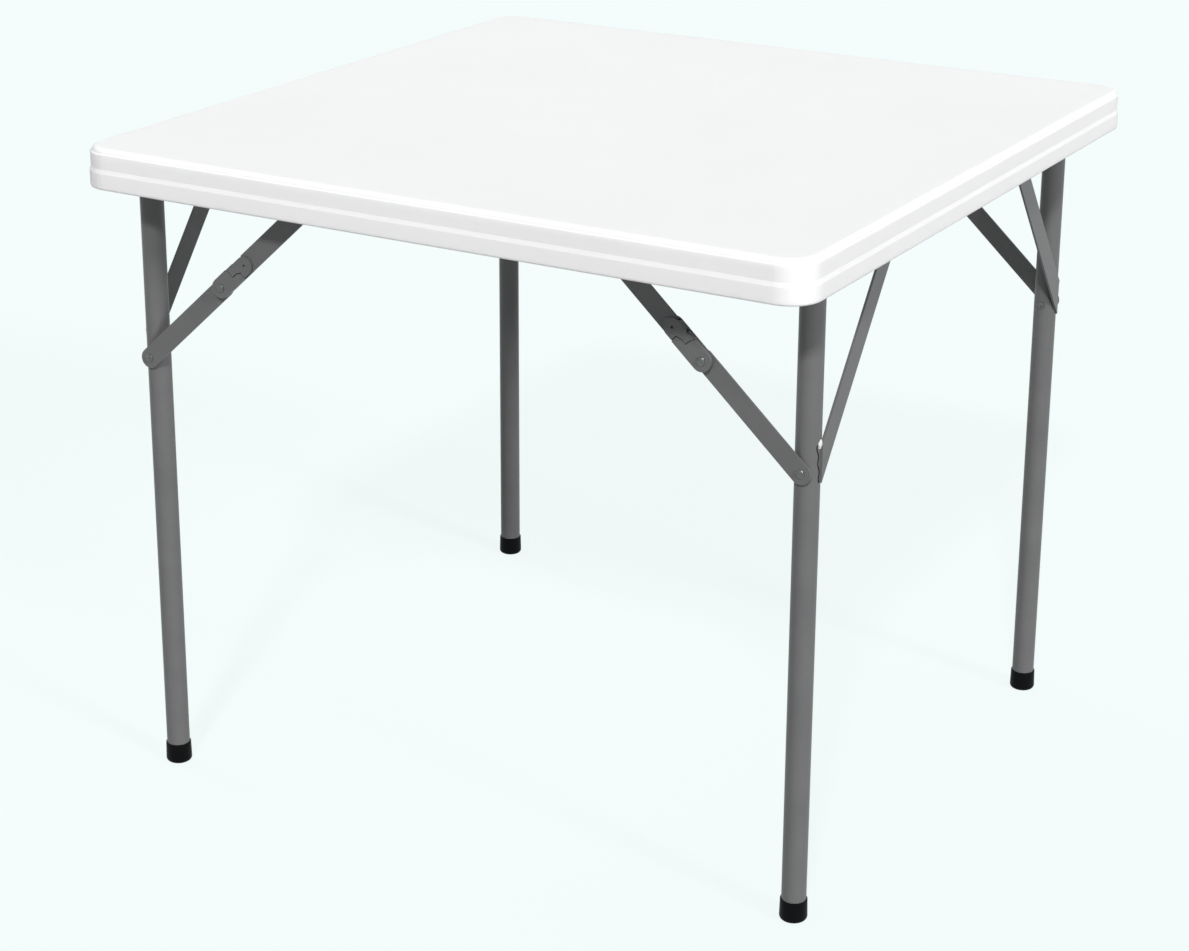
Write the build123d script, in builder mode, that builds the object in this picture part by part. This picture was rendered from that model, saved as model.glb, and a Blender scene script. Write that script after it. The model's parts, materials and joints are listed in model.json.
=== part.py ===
"""Folding card table: a moulded square top on two folding tube leg frames.

The origin is on the floor under the middle of the top, +Z is up. The wide leg frame stands
at the -X end and the narrow one at the +X end, so that both fold flat side by side. Each leg
has a folding brace with a hooked knuckle in a plane beside it. Lengths are in millimetres.
"""
from build123d import *
import math
import os

os.makedirs("parts", exist_ok=True)

# Table top
table_side = 858.0
table_height = 737.0
rim_height = 44.5
corner_radius = 34.0
panel_thickness = 14.0
lower_band = 18.0
shoulder_height = 4.5
upper_band = 16.0
shoulder_step = 1.5
lip_step_height = 0.8
lip_step = 2.0
lip_radius = 5.0
rim_edge_radius = 2.5
rim_width = 22.0
recess_corner_radius = 28.0
recess_draft_deg = 5.0

# Moulded pockets under the panel
pocket_length = 66.0
pocket_width = 26.0
pocket_corner = 9.0
pocket_depth = 9.0
pocket_pitch_x = 110.0
pocket_pitch_y = 110.0
pocket_columns = 6
pocket_rows = 5

# Leg frames
tube_diameter = 26.0
tube_wall = 1.2
pivot_inset = 45.0
leg_inset = 67.0
fold_gap = 7.0
frame_step = 1.5
cope_depth = 5.0
cap_diameter = 30.0
cap_height = 24.0
cap_floor = 4.0
cap_lip_height = 2.0
cap_lip_proud = 0.5
cap_edge_bevel = 2.0
plug_length = 8.0
plug_inset = 0.5

# Gussets
gusset_width = 25.0
gusset_thickness = 2.5
gusset_tip_drop = 221.0
gusset_angle_deg = 52.5
gusset_rise = 8.0
gusset_corner = 2.0

# Folding braces
brace_drop = 209.5
brace_reach = 228.0
strip_width = 22.0
strip_thickness = 2.0
tail_gap = 1.8

# Knuckle lock of a brace, measured from the knuckle rivet along the brace
plate_radius = 22.0
seam_gap = 0.9
tongue_reach = 34.4
tongue_shoulder = 28.6
tongue_drop = 2.5
tongue_below = 1.0
hook_distance = 44.0
hook_width = 20.0
web_start = 33.0
web_thickness = 2.0
waist_distance = 29.0
waist_radius = 3.0
waist_depth = 1.5
lock_hole_diameter = 3.0

# Rivets, washers and screws
rivet_head_diameter = 9.5
rivet_head_height = 2.3
rivet_head_edge = 0.7
rivet_diameter = 6.0
rivet_tail_diameter = 8.0
rivet_tail_height = 1.2
washer_diameter = 14.0
screw_head_diameter = 8.0
screw_head_height = 2.2
screw_head_bevel = 0.8
screw_diameter = 4.0
screw_length = 12.0

# Brackets and saddles
sheet = 2.0
ear_width = 20.0
flange_length = 36.0
flange_depth = 22.0
flange_screw_pitch = 22.0
saddle_width = 26.0
saddle_setback = 60.0
saddle_flange = 16.0
saddle_toe = 3.0
saddle_screw_pitch = 12.0
block_width = 20.0

# Clearances
gap = 0.3
running_fit = 0.1
push_fit = 0.05
nest_clearance = 1.5
overrun = 5.0

# Places that follow from the sizes above
half_side = table_side / 2
tube_radius = tube_diameter / 2
rim_bottom = table_height - rim_height
panel_underside = table_height - panel_thickness
pivot_x = half_side - pivot_inset
wide_pivot_z = panel_underside - fold_gap - tube_radius
narrow_pivot_z = wide_pivot_z + frame_step
half_hook = hook_width / 2

# Layers of a brace, outwards from the leg's outer face
lower_layer = tail_gap
upper_layer = lower_layer + strip_thickness + rivet_head_height + gap
plate_layer = upper_layer + strip_thickness
hook_layer = plate_layer + gap
head_layer = plate_layer + strip_thickness
ear_layer = upper_layer - gap - sheet
brace_stack = head_layer + rivet_head_height
cap_overhang = cap_diameter / 2 + cap_lip_proud - tube_radius

wide_leg_y = half_side - leg_inset
narrow_leg_y = wide_leg_y - tube_diameter - brace_stack - cap_overhang - nest_clearance

# The brace folds flat when its two strips differ by as much as its reach and drop do
brace_length = math.hypot(brace_drop, brace_reach)
lower_length = (brace_length - (brace_reach - brace_drop)) / 2
upper_length = (brace_length + (brace_reach - brace_drop)) / 2
knuckle_x = lower_length * brace_reach / brace_length
knuckle_z = -brace_drop + lower_length * brace_drop / brace_length

# A corner's own axes: X runs inwards from the frame's pivot, Y is zero on the leg's outer
# face with outwards negative, Z is zero at the pivot. This is the front left corner.
brace_plane = Plane(
    origin=(knuckle_x, 0, knuckle_z),
    x_dir=(brace_reach, 0, brace_drop),
    z_dir=(0, -1, 0),
)


class LegFrame:
    """Where one folding leg frame stands."""

    def __init__(self, name, end, leg_y, pivot_z):
        self.name = name
        self.end = end
        self.leg_y = leg_y
        self.pivot_z = pivot_z
        self.panel_gap = panel_underside - pivot_z

    def corner(self, side):
        """The corner's origin: pivot height, on the leg's outer face."""
        return (self.end * pivot_x, side * (self.leg_y + tube_radius), self.pivot_z)


wide = LegFrame("left", -1, wide_leg_y, wide_pivot_z)
narrow = LegFrame("right", 1, narrow_leg_y, narrow_pivot_z)
frames = (wide, narrow)
sides = {"front": -1, "back": 1}


def put(master, frame, side):
    """Copy a piece drawn at the front left corner to any corner of the table."""
    with BuildPart() as turned:
        add(master.part)
        if side > 0:
            mirror(about=Plane.XZ, mode=Mode.REPLACE)
        if frame.end > 0:
            mirror(about=Plane.YZ, mode=Mode.REPLACE)
    with BuildPart() as placed:
        with Locations(frame.corner(side)):
            add(turned.part)
    return placed


def save(piece, name):
    """Label a finished piece and write it."""
    piece.part.label = name
    export_step(piece.part, f"parts/{name}.step")


def save_group(pieces, name):
    """Write several alike pieces as the separate solids of one node."""
    with BuildPart() as group:
        for piece in pieces:
            add(piece.part)
    save(group, name)


def dome(x, z, layer, head_diameter, head_height):
    """A rivet head: a short edge under a dome, its flat face at a layer of the brace."""
    base = Plane(origin=(x, -layer, z), x_dir=(1, 0, 0), z_dir=(0, 0, 1))
    radius = head_diameter / 2
    crown = head_height - rivet_head_edge
    ball = (radius**2 + crown**2) / (2 * crown)
    half_turn = math.asin(radius / ball) / 2
    middle = head_height - ball * (1 - math.cos(half_turn))
    with BuildSketch(base) as profile:
        with BuildLine():
            Polyline((0, 0), (radius, 0), (radius, -rivet_head_edge))
            ThreePointArc(
                (radius, -rivet_head_edge),
                (ball * math.sin(half_turn), -middle),
                (0, -head_height),
            )
            Line((0, -head_height), (0, 0))
        make_face()
    revolve(profile.sketch, axis=Axis((x, -layer, z), (0, 1, 0)))


def pin(x, z, start, end, diameter, mode=Mode.ADD):
    """A round pin through the layers of a brace, from one layer to another."""
    base = Plane(origin=(x, -start, z), x_dir=(1, 0, 0), z_dir=(0, -1, 0))
    with BuildSketch(base) as profile:
        Circle(diameter / 2)
    extrude(profile.sketch, amount=end - start, mode=mode)


# Table top: stepped rim, flat panel, recess and moulded pockets
def table_top():
    upper_side = table_side - 2 * shoulder_step
    lip_side = upper_side - 2 * lip_step
    upper_start = rim_bottom + lower_band + shoulder_height
    lip_start = upper_start + upper_band + lip_step_height
    with BuildPart() as top:
        with BuildSketch(Plane.XY.offset(rim_bottom)):
            RectangleRounded(table_side, table_side, corner_radius)
        extrude(amount=lower_band)
        with BuildSketch(Plane.XY.offset(rim_bottom + lower_band)):
            RectangleRounded(table_side, table_side, corner_radius)
        with BuildSketch(Plane.XY.offset(upper_start)):
            RectangleRounded(upper_side, upper_side, corner_radius - shoulder_step)
        loft()
        with BuildSketch(Plane.XY.offset(upper_start)):
            RectangleRounded(upper_side, upper_side, corner_radius - shoulder_step)
        extrude(amount=upper_band)
        with BuildSketch(Plane.XY.offset(upper_start + upper_band)):
            RectangleRounded(upper_side, upper_side, corner_radius - shoulder_step)
        with BuildSketch(Plane.XY.offset(lip_start)):
            RectangleRounded(lip_side, lip_side, corner_radius - shoulder_step - lip_step)
        loft()
        with BuildSketch(Plane.XY.offset(lip_start)):
            RectangleRounded(lip_side, lip_side, corner_radius - shoulder_step - lip_step)
        extrude(amount=table_height - lip_start)
        fillet(top.faces().sort_by(Axis.Z)[-1].outer_wire().edges(), radius=lip_radius)
        fillet(top.faces().sort_by(Axis.Z)[0].outer_wire().edges(), radius=rim_edge_radius)
        recess_side = table_side - 2 * rim_width
        with BuildSketch(Plane.XY.offset(rim_bottom)):
            RectangleRounded(recess_side, recess_side, recess_corner_radius)
        extrude(
            amount=rim_height - panel_thickness,
            taper=recess_draft_deg,
            mode=Mode.SUBTRACT,
        )
        with BuildSketch(Plane.XY.offset(panel_underside)):
            with GridLocations(pocket_pitch_x, pocket_pitch_y, pocket_columns, pocket_rows):
                RectangleRounded(pocket_length, pocket_width, pocket_corner)
        extrude(amount=pocket_depth, mode=Mode.SUBTRACT)
        with BuildSketch(Plane.XY.offset(panel_underside)):
            with Locations(*screw_places()):
                Circle(screw_diameter / 2 + push_fit)
        extrude(amount=screw_length - sheet + push_fit, mode=Mode.SUBTRACT)
    return top


def bracket_screw_places():
    """Screw positions of one brace bracket, in the corner's own axes."""
    depth = ear_layer + sheet + (flange_depth - sheet) / 2
    return [
        (brace_reach + along, -depth)
        for along in (-flange_screw_pitch / 2, flange_screw_pitch / 2)
    ]


def saddle_screw_places():
    """Screw positions of one crossbar saddle, in the corner's own axes."""
    across = tube_radius + sheet + saddle_flange / 2
    middle = tube_radius + saddle_setback
    return [
        (across, middle + along)
        for along in (-saddle_screw_pitch / 2, saddle_screw_pitch / 2)
    ]


def screw_places():
    """Every screw's place under the top, in the table's axes."""
    places = []
    for frame in frames:
        for side in sides.values():
            origin = frame.corner(side)
            for across, out in bracket_screw_places() + saddle_screw_places():
                places.append((origin[0] - frame.end * across, origin[1] - side * out))
    return places


# Leg frame pieces
def leg(frame):
    """A leg tube, saddle-cut round the crossbar at its top."""
    foot = cap_floor - frame.pivot_z
    with BuildPart() as piece:
        with BuildSketch(Plane.XY.offset(foot)):
            with Locations((0, tube_radius)):
                Circle(tube_radius)
                Circle(tube_radius - tube_wall, mode=Mode.SUBTRACT)
        extrude(amount=-foot - cope_depth)
        with BuildSketch(Plane.XZ.offset(overrun)):
            Circle(tube_radius)
        extrude(amount=-tube_diameter - 2 * overrun, mode=Mode.SUBTRACT)
        pin(0, -brace_drop, -tube_diameter - overrun, overrun,
            rivet_diameter + 2 * push_fit, Mode.SUBTRACT)
    return piece


def foot_cap(frame):
    """A cup over the leg's end with a bevelled lower edge and a raised lip."""
    radius = cap_diameter / 2
    base = -frame.pivot_z
    axis_y = tube_radius
    inner = tube_radius + push_fit
    lip = radius + cap_lip_proud
    with BuildPart() as piece:
        with BuildSketch(Plane(origin=(0, axis_y, base), x_dir=(1, 0, 0), z_dir=(0, -1, 0))):
            with BuildLine():
                Polyline(
                    (radius, cap_edge_bevel),
                    (radius, cap_height - cap_lip_height),
                    (lip, cap_height - cap_lip_height),
                    (lip, cap_height),
                    (inner, cap_height),
                    (inner, cap_floor),
                    (0, cap_floor),
                    (0, 0),
                    (radius - cap_edge_bevel, 0),
                    close=True,
                )
            make_face()
        revolve(axis=Axis((0, axis_y, base), (0, 0, 1)))
    return piece


def crossbar(frame):
    """The tube between the two legs, on the frame's folding axis."""
    length = 2 * (frame.leg_y + tube_radius)
    with BuildPart() as piece:
        with BuildSketch(Plane(origin=(frame.end * pivot_x, -length / 2, frame.pivot_z),
                               x_dir=(1, 0, 0), z_dir=(0, 1, 0))):
            Circle(tube_radius)
            Circle(tube_radius - tube_wall, mode=Mode.SUBTRACT)
        extrude(amount=length)
    return piece


def crossbar_plug():
    """A round plug in the crossbar's open end."""
    with BuildPart() as piece:
        pin(0, 0, -plug_inset - plug_length, -plug_inset, tube_diameter - 2 * tube_wall)
    return piece


def gusset():
    """A flat bar welded from the leg's outer side up to the crossbar."""
    slope = math.tan(math.radians(gusset_angle_deg))
    cut = gusset_width / math.cos(math.radians(gusset_angle_deg))
    upper_corner = gusset_tip_drop - cut
    outer = Plane(origin=(-tube_radius, tube_radius, 0), x_dir=(0, 1, 0), z_dir=(-1, 0, 0))
    # In this plane the first value runs to the table's middle and the second one down
    with BuildPart() as piece:
        with BuildSketch(outer):
            with BuildLine():
                Polyline(
                    (0, gusset_tip_drop),
                    (0, upper_corner),
                    ((upper_corner + gusset_rise) / slope, -gusset_rise),
                    ((gusset_tip_drop + gusset_rise) / slope, -gusset_rise),
                    close=True,
                )
            make_face()
        extrude(amount=gusset_thickness)
        fillet(piece.edges().filter_by(Axis.X).sort_by(Axis.Z)[-2:], radius=gusset_corner)
    return piece


# Folding brace, drawn on the plane through its knuckle
def strip_outline(start, end, width, mode=Mode.ADD):
    """A strip with round ends at two places along the brace."""
    with Locations(((start + end) / 2, 0)):
        SlotCenterToCenter(end - start, width, mode=mode)


def tongue_outline(margin, mode):
    """The stepped tongue of the upper strut's plate, grown by a margin all round."""
    shoulder = margin - tongue_below
    Polygon(
        (0, -strip_width),
        (0, shoulder),
        (tongue_shoulder + margin / 2, shoulder),
        (tongue_reach + margin, shoulder - tongue_drop),
        (tongue_reach + margin, -strip_width),
        align=None,
        mode=mode,
    )


def lower_strut():
    """Strip from the leg to the knuckle, with a tail hooked round the upper strip.

    The hook's outer plate ends in a stepped seam. Its web passes the upper strip on the
    side that faces the corner, so the knuckle opens towards that side only.
    """
    hook_height = hook_layer + strip_thickness - lower_layer
    web_length = hook_distance - web_start
    with BuildPart() as piece:
        with BuildSketch(brace_plane.offset(lower_layer)):
            strip_outline(-lower_length, 0, strip_width)
            strip_outline(0, hook_distance, hook_width)
        extrude(amount=strip_thickness)
        with BuildSketch(brace_plane.offset(lower_layer)):
            with Locations((web_start + web_length / 2, half_hook - web_thickness / 2)):
                Rectangle(web_length, web_thickness)
        extrude(amount=hook_height)
        with BuildSketch(brace_plane.offset(hook_layer)):
            strip_outline(0, hook_distance, hook_width)
            Circle(plate_radius + seam_gap, mode=Mode.SUBTRACT)
            tongue_outline(seam_gap, Mode.SUBTRACT)
            with Locations((waist_distance, half_hook - waist_depth + waist_radius)):
                Circle(waist_radius, mode=Mode.SUBTRACT)
            with Locations((hook_distance, 0)):
                Circle(lock_hole_diameter / 2, mode=Mode.SUBTRACT)
        extrude(amount=strip_thickness)
        with BuildSketch(brace_plane):
            Circle(rivet_diameter / 2 + running_fit)
            with Locations((-lower_length, 0)):
                Circle(rivet_diameter / 2 + push_fit)
        extrude(amount=brace_stack, mode=Mode.SUBTRACT)
    return piece


def upper_strut():
    """Strip from the knuckle to the bracket, with a doubling plate level with the hook."""
    notch_start = web_start - waist_radius
    notch_end = hook_distance + web_thickness
    notch_edge = half_hook - web_thickness - gap
    with BuildPart() as piece:
        with BuildSketch(brace_plane.offset(upper_layer)):
            strip_outline(0, upper_length, strip_width)
            with Locations(((notch_start + notch_end) / 2, notch_edge + strip_width / 2)):
                Rectangle(notch_end - notch_start, strip_width, mode=Mode.SUBTRACT)
            with Locations((upper_length, 0)):
                Circle(rivet_diameter / 2 + running_fit, mode=Mode.SUBTRACT)
            with Locations((hook_distance, 0)):
                Circle(lock_hole_diameter / 2, mode=Mode.SUBTRACT)
        extrude(amount=strip_thickness)
        with BuildSketch(brace_plane.offset(plate_layer)):
            Circle(plate_radius)
            tongue_outline(0, Mode.ADD)
            strip_outline(0, upper_length, strip_width, Mode.INTERSECT)
        extrude(amount=strip_thickness)
        with BuildSketch(brace_plane.offset(upper_layer)):
            Circle(rivet_diameter / 2 + push_fit)
        extrude(amount=head_layer - upper_layer, mode=Mode.SUBTRACT)
    return piece


def knuckle_rivet():
    """The rivet that the lower strip turns on, fixed in the upper strip."""
    with BuildPart() as piece:
        dome(knuckle_x, knuckle_z, head_layer, rivet_head_diameter, rivet_head_height)
        pin(knuckle_x, knuckle_z, gap, head_layer, rivet_diameter)
        pin(knuckle_x, knuckle_z, gap, gap + rivet_tail_height, rivet_tail_diameter)
    return piece


def knuckle_spacer():
    """A washer that holds the two strips apart by a rivet head's height."""
    start = lower_layer + strip_thickness + gap
    with BuildPart() as piece:
        pin(knuckle_x, knuckle_z, start, upper_layer, washer_diameter)
        with BuildSketch(brace_plane.offset(start)):
            Circle(rivet_diameter / 2 + push_fit)
        extrude(amount=upper_layer - start, mode=Mode.SUBTRACT)
    return piece


def leg_rivet_head():
    """The outer half of the leg rivet, fixed in the lower strip."""
    outer = lower_layer + strip_thickness
    with BuildPart() as piece:
        dome(0, -brace_drop, outer, rivet_head_diameter, rivet_head_height)
        pin(0, -brace_drop, lower_layer, outer, rivet_diameter)
    return piece


def leg_rivet_shank():
    """The inner half of the leg rivet: washer, shank and rolled end through the tube."""
    inner_end = -tube_diameter - rivet_tail_height
    with BuildPart() as piece:
        pin(0, -brace_drop, inner_end, tail_gap - gap, rivet_diameter)
        pin(0, -brace_drop, 0, tail_gap - gap, washer_diameter)
        pin(0, -brace_drop, inner_end, -tube_diameter, rivet_tail_diameter)
        with BuildSketch(Plane(origin=(0, -inner_end, -brace_drop), x_dir=(1, 0, 0),
                               z_dir=(0, -1, 0))):
            Circle(rivet_diameter / 4)
        extrude(amount=rivet_tail_height, mode=Mode.SUBTRACT)
    return piece


# Pieces fixed under the top
def brace_bracket(frame):
    """A bent plate: an ear beside the upper strip and a flange on the panel."""
    rise = frame.panel_gap
    with BuildPart() as piece:
        with BuildSketch(Plane(origin=(brace_reach, -ear_layer, 0), x_dir=(1, 0, 0),
                               z_dir=(0, -1, 0))):
            Circle(ear_width / 2)
            with Locations((0, rise / 2)):
                Rectangle(ear_width, rise)
            Circle(rivet_diameter / 2 + push_fit, mode=Mode.SUBTRACT)
        extrude(amount=sheet)
        with BuildSketch(Plane.XY.offset(rise - sheet)):
            with Locations((brace_reach, -ear_layer - flange_depth / 2)):
                RectangleRounded(flange_length, flange_depth, sheet)
            with Locations(*bracket_screw_places()):
                Circle(screw_diameter / 2 + push_fit, mode=Mode.SUBTRACT)
        extrude(amount=sheet)
    return piece


def bracket_rivet():
    """The rivet that the upper strip turns on, fixed in the bracket's ear."""
    tail = ear_layer - rivet_tail_height
    head = plate_layer + running_fit
    with BuildPart() as piece:
        dome(brace_reach, 0, head, rivet_head_diameter, rivet_head_height)
        pin(brace_reach, 0, tail, head, rivet_diameter)
        pin(brace_reach, 0, tail, ear_layer, rivet_tail_diameter)
    return piece


def screw(x, y, frame):
    """A pan-head screw up through a flange into the panel."""
    head = frame.panel_gap - sheet
    with BuildPart() as piece:
        with BuildSketch(Plane.XY.offset(head - screw_head_height)):
            with Locations((x, y)):
                Circle(screw_head_diameter / 2)
        extrude(amount=screw_head_height)
        chamfer(piece.edges().filter_by(GeomType.CIRCLE).sort_by(Axis.Z)[0],
                length=screw_head_bevel)
        with BuildSketch(Plane.XY.offset(head)):
            with Locations((x, y)):
                Circle(screw_diameter / 2)
        extrude(amount=screw_length)
    return piece


def saddle(frame):
    """A strap under the crossbar with a screwed flange inwards and a toe outwards."""
    rise = frame.panel_gap
    inner = tube_radius + running_fit
    outer = inner + sheet
    middle = tube_radius + saddle_setback
    start = Plane(origin=(0, middle + saddle_width / 2, 0), x_dir=(1, 0, 0), z_dir=(0, -1, 0))
    with BuildPart() as piece:
        with BuildSketch(start):
            Circle(outer)
            with Locations((0, rise / 2)):
                Rectangle(2 * outer, rise)
            Circle(inner, mode=Mode.SUBTRACT)
            with Locations((0, rise / 2 + overrun / 2)):
                Rectangle(2 * inner, rise + overrun, mode=Mode.SUBTRACT)
            with Locations((outer + saddle_flange / 2, rise - sheet / 2)):
                Rectangle(saddle_flange, sheet)
            with Locations((-outer - saddle_toe / 2, rise - sheet / 2)):
                Rectangle(saddle_toe, sheet)
        extrude(amount=saddle_width)
        with BuildSketch(Plane.XY.offset(rise - sheet)):
            with Locations(*saddle_screw_places()):
                Circle(screw_diameter / 2 + push_fit)
        extrude(amount=sheet, mode=Mode.SUBTRACT)
    return piece


def pivot_block(frame):
    """A plastic block between the panel and the crossbar, with a half-round seat."""
    rise = frame.panel_gap
    inner = tube_radius + running_fit
    middle = tube_radius + saddle_setback
    start = Plane(origin=(0, middle + block_width / 2, 0), x_dir=(1, 0, 0), z_dir=(0, -1, 0))
    with BuildPart() as piece:
        with BuildSketch(start):
            with Locations((0, rise / 2 + tube_radius / 4)):
                Rectangle(2 * inner, rise - tube_radius / 2)
            Circle(inner, mode=Mode.SUBTRACT)
        extrude(amount=block_width)
    return piece


save(table_top(), "table_top")

masters = {
    "lower_strut": lower_strut(),
    "upper_strut": upper_strut(),
    "knuckle_rivet": knuckle_rivet(),
    "knuckle_spacer": knuckle_spacer(),
    "leg_rivet_head": leg_rivet_head(),
    "gusset": gusset(),
}
shank = leg_rivet_shank()
plug = crossbar_plug()
pivot_rivet = bracket_rivet()

bracket_rivets = []
bracket_screws = []
saddle_screws = []
for frame in frames:
    save(crossbar(frame), f"crossbar_{frame.name}")
    save_group([put(plug, frame, side) for side in sides.values()],
               f"crossbar_plugs_{frame.name}")
    save_group([put(shank, frame, side) for side in sides.values()],
               f"leg_rivet_shanks_{frame.name}")
    corner_masters = dict(masters)
    corner_masters["leg"] = leg(frame)
    corner_masters["foot_cap"] = foot_cap(frame)
    corner_masters["brace_bracket"] = brace_bracket(frame)
    corner_masters["saddle"] = saddle(frame)
    corner_masters["pivot_block"] = pivot_block(frame)
    for side_name, side in sides.items():
        for name, master in corner_masters.items():
            save(put(master, frame, side), f"{name}_{frame.name}_{side_name}")
        bracket_rivets.append(put(pivot_rivet, frame, side))
        for x, y in bracket_screw_places():
            bracket_screws.append(put(screw(x, y, frame), frame, side))
        for x, y in saddle_screw_places():
            saddle_screws.append(put(screw(x, y, frame), frame, side))

save_group(bracket_rivets, "bracket_rivets")
save_group(bracket_screws, "bracket_screws")
save_group(saddle_screws, "saddle_screws")
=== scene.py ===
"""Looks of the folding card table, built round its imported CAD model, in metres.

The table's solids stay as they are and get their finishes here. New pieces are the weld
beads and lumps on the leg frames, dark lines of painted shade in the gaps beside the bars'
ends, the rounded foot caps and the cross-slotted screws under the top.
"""

import json
import math

import bmesh
import bpy
import numpy as np
from mathutils import Matrix, Vector


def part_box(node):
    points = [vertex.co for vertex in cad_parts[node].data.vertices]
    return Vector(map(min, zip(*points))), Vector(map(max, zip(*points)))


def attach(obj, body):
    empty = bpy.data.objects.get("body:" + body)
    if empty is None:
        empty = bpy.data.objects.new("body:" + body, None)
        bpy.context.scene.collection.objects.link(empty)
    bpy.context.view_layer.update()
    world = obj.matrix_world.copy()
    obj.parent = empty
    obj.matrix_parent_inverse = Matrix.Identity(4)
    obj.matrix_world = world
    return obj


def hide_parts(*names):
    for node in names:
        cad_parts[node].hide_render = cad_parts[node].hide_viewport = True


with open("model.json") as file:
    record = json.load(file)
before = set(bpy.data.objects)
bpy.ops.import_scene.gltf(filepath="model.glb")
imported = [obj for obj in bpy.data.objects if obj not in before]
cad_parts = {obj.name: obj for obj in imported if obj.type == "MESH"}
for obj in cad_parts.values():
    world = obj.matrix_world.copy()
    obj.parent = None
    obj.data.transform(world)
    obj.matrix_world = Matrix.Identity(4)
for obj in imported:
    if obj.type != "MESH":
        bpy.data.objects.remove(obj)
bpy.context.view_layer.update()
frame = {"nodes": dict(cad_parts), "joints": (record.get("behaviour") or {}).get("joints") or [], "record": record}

SIDES = ("left", "right")
ENDS = ("front", "back")
CORNERS = [(side, end) for side in SIDES for end in ENDS]

# Picture in pixels, sensor in millimetres, and the camera's place in metres and radians
PICTURE_WIDTH = 1189
PICTURE_HEIGHT = 951
SENSOR_WIDTH = 36.0
FOCAL_PIXELS = 2629.6
PRINCIPAL_ROW = 350.0
CAMERA_PLACE = (1.4047, -2.4940, 1.4062)
CAMERA_TURN = 0.52546
CAMERA_PITCH = 0.31893
CAMERA_ROLL = 0.00504

# Stage: floor and sky are seen in the page's colour, and the floor's own colour only lights
PAGE_COLOUR = (0.905, 0.982, 0.974)
FLOOR_COLOUR = (0.42, 0.425, 0.425)
FLOOR_SIZE = 60.0
FLOOR_SHADOW_SHARE = 0.10
SKY_STRENGTH = 0.29
# Each lamp's name, azimuth, elevation, strength and softness, with angles in degrees
LAMPS = (
    ("front_lamp", -68, 40.3, 1.84, 6),
    ("right_lamp", -14, 26, 1.60, 10),
    ("back_lamp", 170, 50, 0.36, 14),
)

# How deep light spreads in the white plastic
PLASTIC_GLOW_DEPTH = 0.006

# All new pieces
LATHE_POINTS = 64
MERGE_DISTANCE = 1e-7
SMALLEST_RATIO = 1e-6
SHARP_EDGE = math.radians(38)

# Weld beads: a bead's circles are laid off from a direction that its path never takes
RING_POINTS = 12
BEAD_RADIUS = 0.0014
RIPPLE_PITCH = 0.0016
RIPPLE = 0.16
PATH_STEP = RIPPLE_PITCH / 4
UPRIGHT_SLOPE = 0.8
AWAY_FROM_UPRIGHT = (0.9, 0.3, 0.1)
AWAY_FROM_LYING = (0.31, 0.17, 0.93)
SEAM_TOE = 0.22
BAR_END_WIDTH = 0.031

# Weld lumps: one at the top of the upright cut that each bar's lower end has
UPRIGHT_CUT_SHARE = 0.18
LUMP_POINTS = 24
LUMP_DROP = 0.001
LUMP_STANDOFF = 0.0002
LUMP_OUTSET = 0.0016
LUMP_LEAN = 0.25
LUMP_HALF_SIZES = (0.0022, 0.0024, 0.0048)
LUMP_ROUGHNESS = 0.07

# Dark lines of painted shade in the gaps beside the upright cuts
GAP_SHADE_RADIUS = 0.0006
GAP_SHADE_TOP_OUTSET = 0.005
GAP_SHADE_FOOT_OUTSET = 0.0012
GAP_SHADE_WAVE = 0.0008
GAP_SHADE_WAVE_LENGTH = 0.016

# Foot caps
CAP_BORE_RADIUS = 0.01305
CAP_FLOOR_THICKNESS = 0.004
CAP_SHOULDER_RADIUS = 0.0147
CAP_TOP_RADIUS = 0.0142
CAP_EDGE_RADIUS = 0.0045
CAP_EDGE_POINTS = 10
CAP_LIP_RADIUS = 0.0006
CAP_LIP_POINTS = 5

# Screws
BRACKET_SHEET = 0.002
BRACKET_SCREW_PITCH = 0.022
SADDLE_SCREW_PITCH = 0.012
SADDLE_SCREW_INSET = 0.0081
HEAD_RADIUS = 0.004
HEAD_HEIGHT = 0.0022
HEAD_ROUNDING = 0.0012
HEAD_ROUNDING_POINTS = 6
SHANK_RADIUS = 0.002
SLOT_DEPTH = 0.0014
SLOT_HALF_WIDTH = 0.0006
SLOT_REACH = 0.0024
SLOT_TAPER = 0.6


# Shader maths: an expression on values adds its own nodes
class Value:
    """A number that varies over a surface, as one node's output socket."""

    def __init__(self, nodes, socket):
        self.nodes = nodes
        self.socket = socket

    def _maths(self, operation, a, b):
        return self.nodes.add("ShaderNodeMath", {"operation": operation}, {0: a, 1: b})

    def __add__(self, other):
        return self._maths("ADD", self, other)

    def __radd__(self, other):
        return self._maths("ADD", other, self)

    def __sub__(self, other):
        return self._maths("SUBTRACT", self, other)

    def __rsub__(self, other):
        return self._maths("SUBTRACT", other, self)

    def __mul__(self, other):
        return self._maths("MULTIPLY", self, other)

    def __rmul__(self, other):
        return self._maths("MULTIPLY", other, self)

    def __or__(self, other):
        return self._maths("MAXIMUM", self, other)


class Nodes:
    """A tree of shader nodes."""

    def __init__(self, tree):
        self.tree = tree

    def add(self, kind, settings, inputs, output=0):
        """Adds a node: its settings first, then its sockets by name or number."""
        node = self.tree.nodes.new(kind)
        for key, setting in settings.items():
            setattr(node, key, setting)
        self.fill(node, inputs)
        return Value(self, node.outputs[output])

    def fill(self, node, inputs):
        """Links sockets to values, and sets the rest. A colour is three numbers."""
        for key, given in inputs.items():
            socket = node.inputs[key]
            if isinstance(given, Value):
                self.tree.links.new(given.socket, socket)
            elif socket.type == "RGBA":
                socket.default_value = (*given, 1)
            else:
                socket.default_value = given

    def finish(self, kind, surface):
        """Ends the tree in its output node."""
        self.fill(self.tree.nodes.new(kind), {"Surface": surface})


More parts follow.
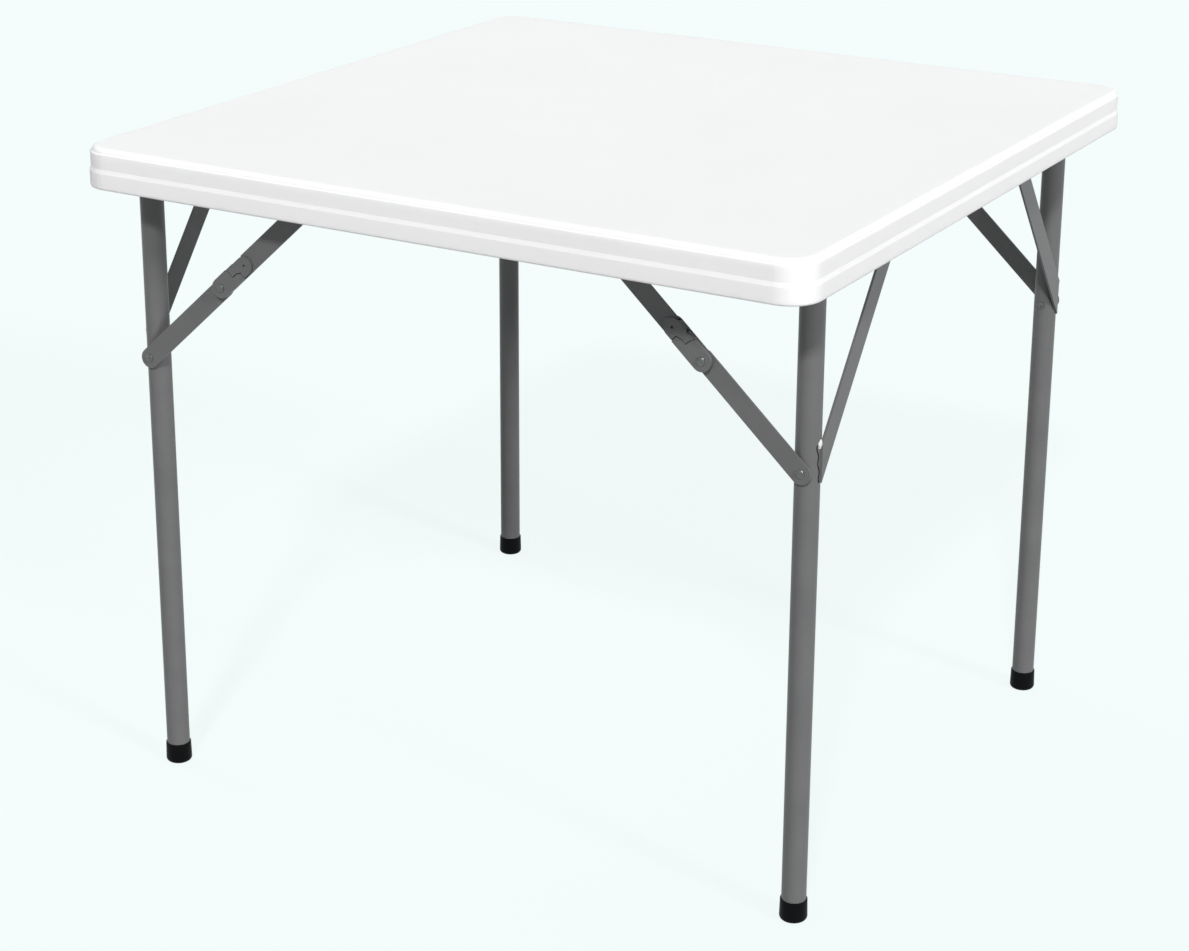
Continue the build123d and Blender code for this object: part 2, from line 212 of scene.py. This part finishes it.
class Finish(Nodes):
    """One material and the nodes that make its surface."""

    def __init__(self, name):
        self.material = bpy.data.materials.new(name)
        self.material.use_nodes = True
        super().__init__(self.material.node_tree)
        self.place = self.add("ShaderNodeTexCoord", {}, {}, output="Object")

    def surface(self, **sockets):
        """Sets the shader's own sockets, with an underscore for each space."""
        shader = self.tree.nodes["Principled BSDF"]
        self.fill(shader, {key.replace("_", " "): given for key, given in sockets.items()})
        return self.material

    def noise(self, size, detail=2.0, roughness=0.5):
        """Soft noise from 0 to 1 whose lumps are about that size."""
        return self.add("ShaderNodeTexNoise", {}, {
            "Vector": self.place, "Scale": 1 / size, "Detail": detail, "Roughness": roughness,
        })

    def cells(self, size):
        """Distance to the nearest of many scattered points that far apart."""
        return self.add("ShaderNodeTexVoronoi", {}, {"Vector": self.place, "Scale": 1 / size})

    def band(self, value, low, high):
        """0 below low, 1 above high and straight between them."""
        return self.add("ShaderNodeMapRange", {}, {
            "Value": value, "From Min": low, "From Max": high, "To Min": 0.0, "To Max": 1.0,
        })

    def shade(self, mask, low, high):
        """A colour that goes from low to high as the mask goes from 0 to 1."""
        factor, first, second, result = 0, 6, 7, 2
        return self.add(
            "ShaderNodeMix", {"data_type": "RGBA"},
            {factor: mask, first: low, second: high}, output=result,
        )

    def bump(self, height, distance, strength, under=None):
        """A surface raised by height times distance, over another bump if one is given."""
        inputs = {"Strength": strength, "Distance": distance, "Height": height}
        if under is not None:
            inputs["Normal"] = under
        return self.add("ShaderNodeBump", {}, inputs)


# Finishes, with the sizes of noise and the heights of bumps in metres
def white_plastic():
    """Blow-moulded polyethylene: near white, a little translucent, wavy and finely grained."""
    f = Finish("white_blow_moulded_plastic")
    cloud = f.band(f.noise(0.16), 0.3, 0.7)
    scuff = f.band(f.noise(0.02, detail=6.0, roughness=0.7), 0.62, 0.8)
    grain = f.cells(0.0011)
    fine = f.noise(0.0006, detail=3.0)
    wave = f.noise(0.07, detail=1.0)
    return f.surface(
        Base_Color=f.shade(cloud, (0.893, 0.893, 0.891), (0.905, 0.905, 0.904)),
        Roughness=0.55 + 0.05 * cloud + 0.05 * fine + 0.06 * scuff,
        Normal=f.bump(grain * 0.7 + fine * 0.3, 0.00005, 0.55, f.bump(wave, 0.0006, 0.35)),
        Subsurface_Weight=0.8,
        Subsurface_Scale=PLASTIC_GLOW_DEPTH,
        Subsurface_Radius=(1, 1, 1),
        Specular_IOR_Level=0.4,
    )


def grey_powder_coat():
    """Baked powder coat on steel: mid grey, satin, with orange peel and a few rubbed spots."""
    f = Finish("grey_powder_coat")
    peel = f.noise(0.0016, detail=2.0)
    cloud = f.band(f.noise(0.045, detail=3.0), 0.3, 0.7)
    rubbed = f.band(f.noise(0.006, detail=5.0, roughness=0.7), 0.66, 0.74)
    coat = f.shade(cloud, (0.136, 0.136, 0.138), (0.152, 0.152, 0.154))
    return f.surface(
        Base_Color=f.shade(rubbed * 0.35, coat, (0.21, 0.21, 0.21)),
        Roughness=0.34 + 0.05 * cloud - 0.05 * rubbed,
        Normal=f.bump(peel, 0.00006, 0.5),
        Specular_IOR_Level=0.18,
    )


def black_cap_plastic():
    """Black moulded polyethylene with a fine grain and pale dust low down."""
    f = Finish("black_cap_plastic")
    height = f.add("ShaderNodeSeparateXYZ", {}, {"Vector": f.place}, output="Z")
    speck = f.band(f.noise(0.002, detail=5.0, roughness=0.65), 0.52, 0.72)
    dust = (1 - f.band(height, 0.0005, 0.006)) * speck
    return f.surface(
        Base_Color=f.shade(dust * 0.35, (0.003, 0.003, 0.0034), (0.030, 0.029, 0.027)),
        Roughness=0.44 + 0.2 * dust + 0.08 * speck,
        Normal=f.bump(f.cells(0.0008), 0.00005, 0.5),
        Specular_IOR_Level=0.06,
    )


def bright_rivet_steel():
    """Zinc-plated rivets and washers: bright, with small dents from the riveting tool. Their steel's colour is
    held dark as a painted reflection of dark surroundings.
    """
    f = Finish("bright_rivet_steel")
    dent = f.noise(0.003, detail=2.0)
    tarnish = f.band(f.noise(0.005, detail=3.0), 0.3, 0.7)
    return f.surface(
        # Painted reflection: the steel's colour is held dark, with random tarnish mottling
        Base_Color=f.shade(tarnish, (0.18, 0.18, 0.177), (0.11, 0.11, 0.107)),
        Metallic=1.0,
        Roughness=0.20 + 0.12 * tarnish,
        Normal=f.bump(dent, 0.00022, 0.5),
    )


def dull_zinc():
    """Passivated zinc on pressed straps and screws: mottled, faintly warm and cool."""
    f = Finish("dull_zinc")
    bloom = f.band(f.noise(0.012, detail=4.0, roughness=0.6), 0.35, 0.65)
    draw = f.noise(0.0009, detail=2.0)
    return f.surface(
        Base_Color=f.shade(bloom, (0.40, 0.42, 0.44), (0.50, 0.48, 0.43)),
        Metallic=1.0,
        Roughness=0.36 + 0.14 * bloom,
        Normal=f.bump(draw, 0.00004, 0.5),
    )


def coated_weld():
    """Weld beads under the same grey coat, with painted shade that darkens the low spots of their bump."""
    f = Finish("coated_weld")
    spatter = f.noise(0.0011, detail=4.0)
    pits_and_painted_shade = f.band(spatter, 0.35, 0.65)
    return f.surface(
        # Painted shade: darker where the bump is low
        Base_Color=f.shade(pits_and_painted_shade, (0.105, 0.105, 0.107), (0.150, 0.150, 0.152)),
        Roughness=0.32 + 0.12 * pits_and_painted_shade,
        Normal=f.bump(spatter, 0.00015, 0.6),
    )


def pale_lump():
    """A pale, glossy and pitted lump of weld, with painted shade that darkens its pits."""
    f = Finish("pale_weld_lump")
    pits_and_painted_shade = f.band(f.noise(0.0014, detail=3.0), 0.40, 0.62)
    return f.surface(
        # Painted shade: darker where the bump is low
        Base_Color=f.shade(pits_and_painted_shade, (0.56, 0.56, 0.56), (0.80, 0.80, 0.79)),
        Roughness=0.26 + 0.16 * pits_and_painted_shade,
        Normal=f.bump(pits_and_painted_shade, 0.00012, 0.5),
    )


def painted_gap_shade():
    """Painted shade: the dark gap beside a bar's end, as a near-black line with traces of brown."""
    f = Finish("painted_gap_shade")
    trace = f.band(f.noise(0.003, detail=3.0), 0.4, 0.7)
    return f.surface(
        Base_Color=f.shade(trace, (0.010, 0.008, 0.007), (0.030, 0.019, 0.015)),
        Roughness=0.75 + 0.1 * trace,
        Specular_IOR_Level=0.1,
    )


FINISHES = {
    "top_plastic": white_plastic(),
    "frame_paint": grey_powder_coat(),
    "black_plastic": black_cap_plastic(),
    "rivet_steel": bright_rivet_steel(),
    "bracket_steel": dull_zinc(),
}

slots = {part["node"]: part["material_slot"] for part in frame["record"]["subparts"]}
for node, piece in frame["nodes"].items():
    piece.data.materials.clear()
    piece.data.materials.append(FINISHES[slots[node]])


# New pieces: surfaces on a grid of two parameters
def grid_faces(rows, columns):
    """Corner numbers of the quads of a grid whose columns close on themselves."""
    row, column = np.meshgrid(np.arange(rows - 1), np.arange(columns), indexing="ij")
    after = (column + 1) % columns
    corners = (row * columns + column, row * columns + after,
               (row + 1) * columns + after, (row + 1) * columns + column)
    return np.stack([c.ravel() for c in corners], axis=1)


def make_piece(name, surfaces, body, slot, finish=None):
    """One mesh of several closed grids, riding on a body, with its slot's finish or its own.

    A grid's first and last rows are single points. They are merged, which closes the ends.
    """
    points, faces, start = [], [], 0
    for surface in surfaces:
        rows, columns = surface.shape[:2]
        points.append(surface.reshape(-1, 3))
        faces.append(grid_faces(rows, columns) + start)
        start += rows * columns
    mesh = bpy.data.meshes.new(name)
    mesh.from_pydata(np.concatenate(points), [], np.concatenate(faces).tolist())
    work = bmesh.new()
    work.from_mesh(mesh)
    bmesh.ops.remove_doubles(work, verts=work.verts, dist=MERGE_DISTANCE)
    bmesh.ops.recalc_face_normals(work, faces=work.faces)
    work.to_mesh(mesh)
    work.free()
    mesh.shade_smooth()
    mesh.set_sharp_from_angle(angle=SHARP_EDGE)
    mesh.materials.append(FINISHES[slot] if finish is None else finish)
    piece = bpy.data.objects.new(name, mesh)
    bpy.context.scene.collection.objects.link(piece)
    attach(piece, body)
    return piece


def turns(count):
    """That many angles round a full turn."""
    return np.linspace(0, 2 * np.pi, count, endpoint=False)


def lathe(middle, radii, heights):
    """A profile turned about an upright line through the middle.

    A radius may be one number for a whole ring, or one for each angle of the ring.
    """
    angle = turns(LATHE_POINTS)
    rings = []
    for radius, height in zip(radii, heights):
        rings.append(np.stack([
            middle[0] + radius * np.cos(angle),
            middle[1] + radius * np.sin(angle),
            np.full(LATHE_POINTS, height),
        ], axis=1))
    return np.stack(rings)


# Weld beads, lumps and lines of painted shade of the leg frames
def weld_bead(path, radius):
    """A rippled bead along a path of points.

    Round each path point runs a circle square to the path. Its radius is the bead's radius
    times 1 + ripple * cos(2 pi s / pitch), with s the length along the path. Over the first
    and last stretch of one radius it shrinks to a point, as the square root of
    1 - (1 - t) squared, which rounds both ends off.
    """
    step = np.linalg.norm(np.diff(path, axis=0), axis=1)
    travel = np.concatenate([[0], np.cumsum(step)])
    ahead = np.gradient(path, axis=0)
    ahead /= np.linalg.norm(ahead, axis=1, keepdims=True)
    upright = abs(ahead[0, 2]) > UPRIGHT_SLOPE
    side = np.cross(ahead, AWAY_FROM_UPRIGHT if upright else AWAY_FROM_LYING)
    side /= np.linalg.norm(side, axis=1, keepdims=True)
    rise = np.cross(side, ahead)
    near_end = np.clip(np.minimum(travel, travel[-1] - travel) / radius, 0, 1)
    size = radius * np.sqrt(1 - (1 - near_end) ** 2)
    size *= 1 + RIPPLE * np.cos(2 * np.pi * travel / RIPPLE_PITCH)
    turn = turns(RING_POINTS)[None, :, None]
    ring = np.cos(turn) * side[:, None] + np.sin(turn) * rise[:, None]
    return path[:, None] + ring * size[:, None, None]


def straight(start, end):
    """Even points from start to end, at most one step apart."""
    start, end = np.array(start), np.array(end)
    count = int(np.linalg.norm(end - start) / PATH_STEP) + 2
    return start + (end - start) * np.linspace(0, 1, count)[:, None]


def cope_seam(axle, leg_y, radius, turn_from, turn_to):
    """The seam of two equal tubes that meet square, on one side of the crossbar.

    At turn t round the upright tube its point is x = r cos t, y = r sin t, and the lying
    tube's underside is at z = -r |sin t|.
    """
    count = int(radius * abs(turn_to - turn_from) / PATH_STEP)
    turn = np.linspace(turn_from, turn_to, count)
    return np.stack([
        axle[0] + radius * np.cos(turn),
        leg_y + radius * np.sin(turn),
        axle[2] - radius * np.abs(np.sin(turn)),
    ], axis=1)


def weld_lump(middle, half_sizes, inward):
    """A lump of weld: a leaning ellipsoid with a slow wave over its surface.

    At latitude p and turn t its point lies (a cos p cos t, b cos p sin t, c sin p) from the
    middle, times 1 + roughness * sin(3 t + 5 p) * cos p. Upwards it leans towards the bar.
    """
    latitude = np.linspace(-np.pi / 2, np.pi / 2, LUMP_POINTS)[:, None]
    turn = turns(LUMP_POINTS)[None, :]
    swell = 1 + LUMP_ROUGHNESS * np.sin(3 * turn + 5 * latitude) * np.cos(latitude)
    reach = np.cos(latitude) * swell
    a, b, c = half_sizes
    rise = c * np.sin(latitude) * np.ones_like(turn) * swell
    return np.stack([
        middle[0] + a * reach * np.cos(turn),
        middle[1] + b * reach * np.sin(turn) + inward * LUMP_LEAN * rise,
        middle[2] + rise,
    ], axis=2)


def gap_shade_line(axle, leg_y, radius, foot, top):
    """A thin dark line of painted shade on the leg, in the gap beside a bar's upright end.

    From foot to top its distance d from the leg's outermost line grows evenly, with a sine
    wave over it, and the point lies on the tube: x = sqrt(r squared - d squared).
    """
    path = straight((axle[0], leg_y, foot), (axle[0], leg_y, top))
    travel = path[:, 2] - foot
    share = travel / (top - foot)
    aside = GAP_SHADE_FOOT_OUTSET + (GAP_SHADE_TOP_OUTSET - GAP_SHADE_FOOT_OUTSET) * share
    aside += GAP_SHADE_WAVE * np.sin(2 * np.pi * travel / GAP_SHADE_WAVE_LENGTH)
    path[:, 0] += math.copysign(1, axle[0]) * np.sqrt(radius ** 2 - aside ** 2)
    path[:, 1] += math.copysign(1, leg_y) * aside
    return weld_bead(path, GAP_SHADE_RADIUS)


def dress_leg_frame(side):
    """Beads where each leg meets the crossbar and its bar's end, a lump, and a line of painted shade in the gap
    beside the bar's end.
    """
    axle = next(j for j in frame["joints"] if j["name"] == f"fold_{side}")["pos_m"]
    outward = math.copysign(1, axle[0])
    beads, lumps, gap_shade_lines = [], [], []
    for end in ENDS:
        low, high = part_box(f"leg_{side}_{end}")
        leg_y = (low[1] + high[1]) / 2
        radius = (high[0] - low[0]) / 2
        inward = -math.copysign(1, leg_y)
        for start in (0, math.pi):
            path = cope_seam(axle, leg_y, radius, start + SEAM_TOE, start + math.pi - SEAM_TOE)
            beads.append(weld_bead(path, BEAD_RADIUS))
        low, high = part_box(f"gusset_{side}_{end}")
        skin = axle[0] + outward * radius
        far = high[1] if inward > 0 else low[1]
        path = straight((skin, far - inward * BAR_END_WIDTH, axle[2]), (skin, far, axle[2]))
        beads.append(weld_bead(path, BEAD_RADIUS))
        lump_z = low[2] + (high[2] - low[2]) * UPRIGHT_CUT_SHARE - LUMP_DROP
        lump = (skin + outward * LUMP_STANDOFF, leg_y - inward * LUMP_OUTSET, lump_z)
        lumps.append(weld_lump(lump, LUMP_HALF_SIZES, inward))
        gap_shade_lines.append(gap_shade_line(axle, leg_y, radius, low[2], lump_z))
    body = f"frame_{side}"
    make_piece(f"weld_beads_{side}", beads, body, "frame_paint", WELD_FINISH)
    make_piece(f"weld_lumps_{side}", lumps, body, "frame_paint", LUMP_FINISH)
    # Near-black lines of painted shade in the gaps beside the bars' ends
    make_piece(f"bar_gap_shades_{side}", gap_shade_lines, body, "frame_paint", GAP_SHADE_FINISH)


# Foot caps
def quarter_arc(count):
    """Sines and cosines of that many even points over a quarter turn."""
    turn = np.linspace(0, np.pi / 2, count)
    return np.sin(turn), np.cos(turn)


def foot_cap(side, end):
    """A moulded cup: flat below, round at its lower edge, and slightly narrower upwards.

    The lower edge is a quarter circle and the upper lip another, small one. The wall between
    them is straight, and the bore goes down to the floor of the cup.
    """
    node = f"foot_cap_{side}_{end}"
    low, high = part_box(node)
    middle = ((low[0] + high[0]) / 2, (low[1] + high[1]) / 2)
    floor = low[2] + CAP_FLOOR_THICKNESS
    sine, cosine = quarter_arc(CAP_EDGE_POINTS)
    lip_sine, lip_cosine = quarter_arc(CAP_LIP_POINTS)
    flat = CAP_SHOULDER_RADIUS - CAP_EDGE_RADIUS
    lip = CAP_TOP_RADIUS - CAP_LIP_RADIUS
    radii = [0, *(flat + CAP_EDGE_RADIUS * sine), *(lip + CAP_LIP_RADIUS * lip_cosine),
             CAP_BORE_RADIUS, CAP_BORE_RADIUS, 0]
    heights = [low[2], *(low[2] + CAP_EDGE_RADIUS * (1 - cosine)),
               *(high[2] - CAP_LIP_RADIUS * (1 - lip_sine)), high[2], floor, floor]
    surfaces = [lathe(middle, radii, heights)]
    cap = make_piece(f"moulded_cap_{side}_{end}", surfaces, f"frame_{side}", "black_plastic")
    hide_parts(node)


# Screws under the top
def cross_outline():
    """Distance from a screw's middle to the edge of its cross slot, for each angle.

    A bar of half length L and half width w is min(L / |cos t|, w / |sin t|) from its middle
    to its edge, and the cross is the larger of two bars at right angles.
    """
    angle = turns(LATHE_POINTS)
    cosine = np.maximum(np.abs(np.cos(angle)), SMALLEST_RATIO)
    sine = np.maximum(np.abs(np.sin(angle)), SMALLEST_RATIO)
    lying = np.minimum(SLOT_REACH / cosine, SLOT_HALF_WIDTH / sine)
    standing = np.minimum(SLOT_REACH / sine, SLOT_HALF_WIDTH / cosine)
    return np.maximum(lying, standing)


def screw(x, y, seat, tip):
    """A pan head below its seat with a tapered cross slot, and a plain shank above it."""
    face = seat - HEAD_HEIGHT
    slot = cross_outline()
    sine, cosine = quarter_arc(HEAD_ROUNDING_POINTS)
    radii = [0, slot * SLOT_TAPER, slot, *(HEAD_RADIUS - HEAD_ROUNDING * (1 - sine)),
             HEAD_RADIUS, SHANK_RADIUS, SHANK_RADIUS, 0]
    heights = [face + SLOT_DEPTH, face + SLOT_DEPTH, face, *(face + HEAD_ROUNDING * (1 - cosine)),
               seat, seat, tip, tip]
    return lathe((x, y), radii, heights)


def screw_set(name, node, places):
    """The screws of one kind, in place of their plain node."""
    low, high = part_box(node)
    seat = low[2] + HEAD_HEIGHT
    surfaces = [screw(x, y, seat, high[2]) for x, y in places]
    piece = make_piece(name, surfaces, "top", "bracket_steel")
    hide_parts(node)


def bracket_screw_places():
    """Two screws through each bracket's flange, beside its ear."""
    places = []
    for side, end in CORNERS:
        low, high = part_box(f"brace_bracket_{side}_{end}")
        x, y = (low[0] + high[0]) / 2, (low[1] + high[1]) / 2
        y += math.copysign(BRACKET_SHEET / 2, y)
        places += [(x - BRACKET_SCREW_PITCH / 2, y), (x + BRACKET_SCREW_PITCH / 2, y)]
    return places


def saddle_screw_places():
    """Two screws through each saddle's inner flange."""
    places = []
    for side, end in CORNERS:
        low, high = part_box(f"saddle_{side}_{end}")
        x = high[0] - SADDLE_SCREW_INSET if side == "left" else low[0] + SADDLE_SCREW_INSET
        y = (low[1] + high[1]) / 2
        places += [(x, y - SADDLE_SCREW_PITCH / 2), (x, y + SADDLE_SCREW_PITCH / 2)]
    return places


WELD_FINISH = coated_weld()
LUMP_FINISH = pale_lump()
GAP_SHADE_FINISH = painted_gap_shade()
for side in SIDES:
    dress_leg_frame(side)
    for end in ENDS:
        foot_cap(side, end)
screw_set("bracket_cross_screws", "bracket_screws", bracket_screw_places())
screw_set("saddle_cross_screws", "saddle_screws", saddle_screw_places())


# Camera and stage
def studio_lamp(name, azimuth, elevation, strength, softness):
    """A distant sun, even over the floor, whose disc is as wide as its softness says."""
    light = bpy.data.lights.new(name, "SUN")
    light.energy = strength
    light.angle = math.radians(softness)
    lamp = bpy.data.objects.new(name, light)
    bpy.context.scene.collection.objects.link(lamp)
    turn, rise = math.radians(azimuth), math.radians(elevation)
    towards = Vector((
        math.cos(rise) * math.cos(turn), math.cos(rise) * math.sin(turn), math.sin(rise),
    ))
    lamp.rotation_euler = towards.to_track_quat("Z", "Y").to_euler()


def blank_nodes(owner):
    """The emptied node tree of a material or world."""
    owner.use_nodes = True
    owner.node_tree.nodes.clear()
    return Nodes(owner.node_tree)


def seen_directly(nodes):
    """1 for rays from the camera, off gloss and through glass, else 0."""
    camera, gloss, glass = (
        nodes.add("ShaderNodeLightPath", {}, {}, output=ray)
        for ray in ("Is Camera Ray", "Is Glossy Ray", "Is Transmission Ray")
    )
    return camera | gloss | glass


def mix(nodes, share, first, second):
    """Two shaders mixed, with that share of the second."""
    return nodes.add("ShaderNodeMixShader", {}, {0: share, 1: first, 2: second})


def pale_floor():
    """A flat floor: page-coloured where it is seen, with part of the real shade on it."""
    mesh = bpy.data.meshes.new("floor")
    half = FLOOR_SIZE / 2
    corners = [(-half, -half, 0), (half, -half, 0), (half, half, 0), (-half, half, 0)]
    mesh.from_pydata(corners, [], [(0, 1, 2, 3)])
    floor = bpy.data.objects.new("floor", mesh)
    bpy.context.scene.collection.objects.link(floor)
    material = bpy.data.materials.new("pale_floor")
    nodes = blank_nodes(material)
    lit = nodes.add("ShaderNodeBsdfDiffuse", {}, {"Color": FLOOR_COLOUR})
    page = nodes.add("ShaderNodeEmission", {}, {"Color": PAGE_COLOUR})
    paper = nodes.add("ShaderNodeBsdfDiffuse", {}, {"Color": PAGE_COLOUR})
    shown = mix(nodes, FLOOR_SHADOW_SHARE, page, paper)
    nodes.finish("ShaderNodeOutputMaterial", mix(nodes, seen_directly(nodes), lit, shown))
    mesh.materials.append(material)


def pale_sky():
    """A world that lights softly and is page-coloured where it is seen."""
    world = bpy.data.worlds.new("studio")
    nodes = blank_nodes(world)
    soft = nodes.add("ShaderNodeBackground", {}, {"Color": (1, 1, 1), "Strength": SKY_STRENGTH})
    page = nodes.add("ShaderNodeBackground", {}, {"Color": PAGE_COLOUR})
    nodes.finish("ShaderNodeOutputWorld", mix(nodes, seen_directly(nodes), soft, page))
    bpy.context.scene.world = world


def photo_camera():
    """The camera at the photograph's place, turn, lens and framing."""
    data = bpy.data.cameras.new("photo_camera")
    data.sensor_fit = "HORIZONTAL"
    data.sensor_width = SENSOR_WIDTH
    data.lens = FOCAL_PIXELS * SENSOR_WIDTH / PICTURE_WIDTH
    data.shift_y = -(PICTURE_HEIGHT / 2 - PRINCIPAL_ROW) / PICTURE_WIDTH
    data.clip_end = FLOOR_SIZE
    camera = bpy.data.objects.new("photo_camera", data)
    bpy.context.scene.collection.objects.link(camera)
    camera.location = CAMERA_PLACE
    camera.rotation_euler = (
        Matrix.Rotation(CAMERA_TURN, 3, "Z")
        @ Matrix.Rotation(math.pi / 2 - CAMERA_PITCH, 3, "X")
        @ Matrix.Rotation(CAMERA_ROLL, 3, "Z")
    ).to_euler()
    bpy.context.scene.camera = camera


pale_floor()
pale_sky()
for lamp in LAMPS:
    studio_lamp(*lamp)
photo_camera()
bpy.context.scene.view_settings.view_transform = "Standard"
